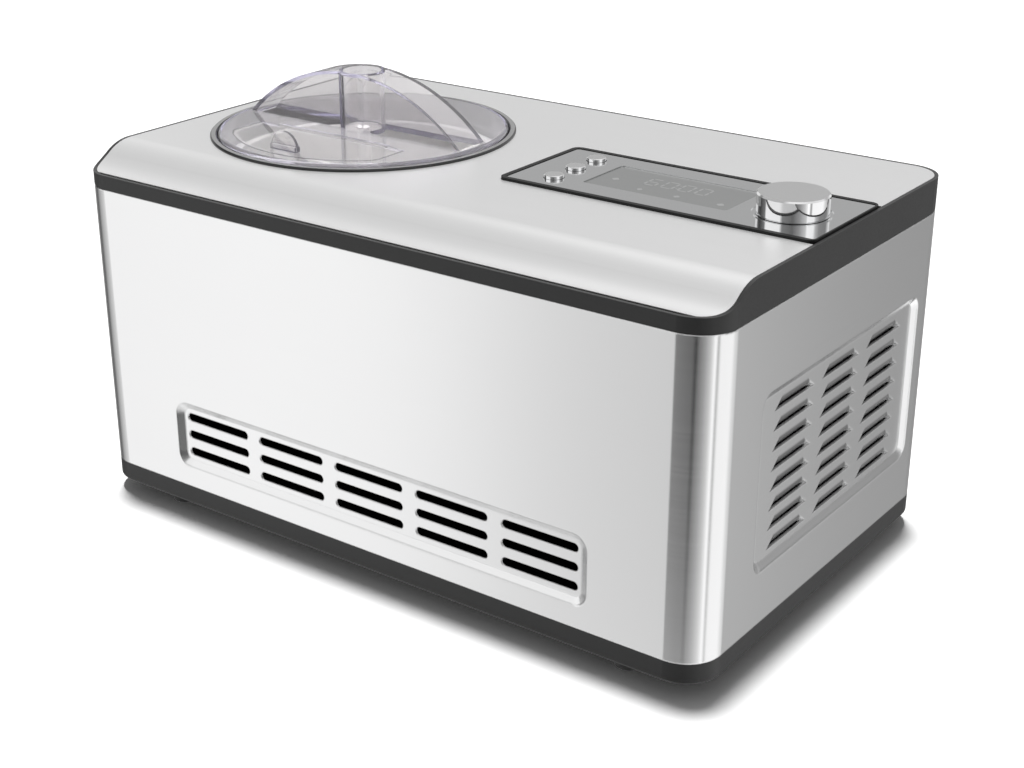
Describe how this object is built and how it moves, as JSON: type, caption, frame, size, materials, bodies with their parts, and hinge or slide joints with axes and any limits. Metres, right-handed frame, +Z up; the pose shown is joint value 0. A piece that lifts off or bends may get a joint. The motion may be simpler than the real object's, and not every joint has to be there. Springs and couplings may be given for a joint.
{
  "type": "compressor ice cream maker",
  "caption": "Counter-top ice cream maker with a brushed steel body, a clear lid with an arch handle over a round bowl, and a control panel with a display, push buttons and a knob.",
  "frame": {"origin": "centre of the footprint, on the surface that the feet stand on", "axes": "+X along the front to the right, -Y towards the front, +Z up"},
  "size_m": [0.425, 0.258, 0.252],
  "materials": {
    "steel": "fine vertical brush",
    "satin_plate": "satin",
    "black_plastic": "fine grain",
    "grey_fascia": "satin print",
    "clear_plastic": "clear, polished",
    "display_glass": "satin window",
    "chrome": "bright plating",
    "zinc_sheet": "grey coat",
    "screw_steel": "zinc plate",
    "rubber": "matt",
    "drum_aluminium": "spun",
    "bowl_aluminium": "satin",
    "copper": "drawn copper tube",
    "foam": "rigid foam",
    "paddle_plastic": "satin",
    "gear_plastic": "moulded",
    "shaft_steel": "ground",
    "bush_bronze": "sintered",
    "motor_can": "zinc coat",
    "compressor_black": "black paint",
    "board_green": "solder mask",
    "module_black": "moulded"
  },
  "bodies": {
    "housing": {"base_tray": "black_plastic", "foot_screws": "screw_steel", "steel_shell": "steel", "rear_panel": "zinc_sheet", "rear_panel_screws": "screw_steel", "cord_gland": "black_plastic", "top_frame": "black_plastic", "top_plate": "satin_plate", "bowl_collar": "black_plastic", "collar_seal": "rubber", "cooling_drum": "drum_aluminium", "evaporator_coil": "copper", "foam_jacket": "foam", "panel_bezel": "black_plastic", "panel_fascia": "grey_fascia", "display_lens": "display_glass", "display_module": "module_black", "button_switches": "module_black", "encoder_body": "module_black", "control_board": "board_green", "board_screws": "screw_steel", "gear_pin": "shaft_steel", "stirrer_motor": "motor_can", "gearbox_case": "module_black", "gearbox_cover": "module_black", "gearbox_screws": "screw_steel", "lower_shaft_bush": "bush_bronze", "upper_shaft_bush": "bush_bronze", "compressor": "compressor_black", "compressor_grommets": "rubber", "compressor_bolts": "screw_steel", "relay_box": "module_black", "condenser": "drum_aluminium", "fan_shroud": "module_black", "fan_motor": "motor_can", "suction_line": "copper", "discharge_line": "copper", "filter_drier": "copper", "capillary_line": "copper", "foot_front_left": "rubber", "foot_rear_left": "rubber", "foot_front_right": "rubber", "foot_rear_right": "rubber"},
    "bowl": {"mixing_bowl": "bowl_aluminium"},
    "paddle": {"paddle": "paddle_plastic"},
    "lid": {"lid": "clear_plastic", "flap_hinge_pin": "shaft_steel"},
    "flap": {"filler_flap": "clear_plastic"},
    "drive": {"drive_shaft": "shaft_steel", "output_gear": "gear_plastic", "shaft_seal": "rubber"},
    "compound": {"compound_gear": "gear_plastic"},
    "motor_rotor": {"motor_shaft": "shaft_steel", "motor_pinion": "shaft_steel"},
    "knob": {"timer_knob": "chrome", "encoder_shaft": "shaft_steel"},
    "power_key": {"power_button": "chrome"},
    "menu_key": {"menu_button": "chrome"},
    "start_key": {"start_button": "chrome"},
    "fan": {"fan_blade": "module_black"}
  },
  "joints": [
    {"name": "bowl_lift", "type": "slide", "parent": "housing", "child": "bowl", "axis": [0, 0, 1], "range_m": [0, 0.125]},
    {"name": "lid_lift", "type": "slide", "parent": "bowl", "child": "lid", "axis": [0, 0, 1], "range_m": [0, 0.06]},
    {"name": "flap_swing", "type": "hinge", "parent": "lid", "child": "flap", "pos_m": [-0.108, -0.024, 0.2166], "axis": [-1, 0, 0], "range_deg": [0, 95]},
    {"name": "drive_spin", "type": "hinge", "parent": "housing", "child": "drive", "pos_m": [-0.108, 0.004, 0.1], "axis": [0, 0, 1], "continuous": true},
    {"name": "compound_spin", "type": "hinge", "parent": "housing", "child": "compound", "pos_m": [-0.0705, 0.004, 0.1], "axis": [0, 0, 1], "continuous": true},
    {"name": "rotor_spin", "type": "hinge", "parent": "housing", "child": "motor_rotor", "pos_m": [-0.0705, 0.039, 0.1], "axis": [0, 0, 1], "continuous": true},
    {"name": "paddle_spin", "type": "hinge", "parent": "bowl", "child": "paddle", "pos_m": [-0.108, 0.004, 0.1], "axis": [0, 0, 1], "continuous": true},
    {"name": "knob_turn", "type": "hinge", "parent": "housing", "child": "knob", "pos_m": [0.18033, 0.003, 0.22], "axis": [0, 0, 1], "continuous": true},
    {"name": "fan_spin", "type": "hinge", "parent": "housing", "child": "fan", "pos_m": [0.165, 0.011, 0.09394], "axis": [1, 0, 0], "continuous": true},
    {"name": "power_press", "type": "slide", "parent": "housing", "child": "power_key", "axis": [0, 0, -1], "range_m": [0, 0.0006], "stiffness_N_per_m": 600, "springref_m": -0.0005},
    {"name": "menu_press", "type": "slide", "parent": "housing", "child": "menu_key", "axis": [0, 0, -1], "range_m": [0, 0.0006], "stiffness_N_per_m": 600, "springref_m": -0.0005},
    {"name": "start_press", "type": "slide", "parent": "housing", "child": "start_key", "axis": [0, 0, -1], "range_m": [0, 0.0006], "stiffness_N_per_m": 600, "springref_m": -0.0005}
  ],
  "couplings": [
    {"joint": "compound_spin", "follows": "drive_spin", "ratio": -5},
    {"joint": "rotor_spin", "follows": "drive_spin", "ratio": 30},
    {"joint": "paddle_spin", "follows": "drive_spin", "ratio": 1}
  ]
}
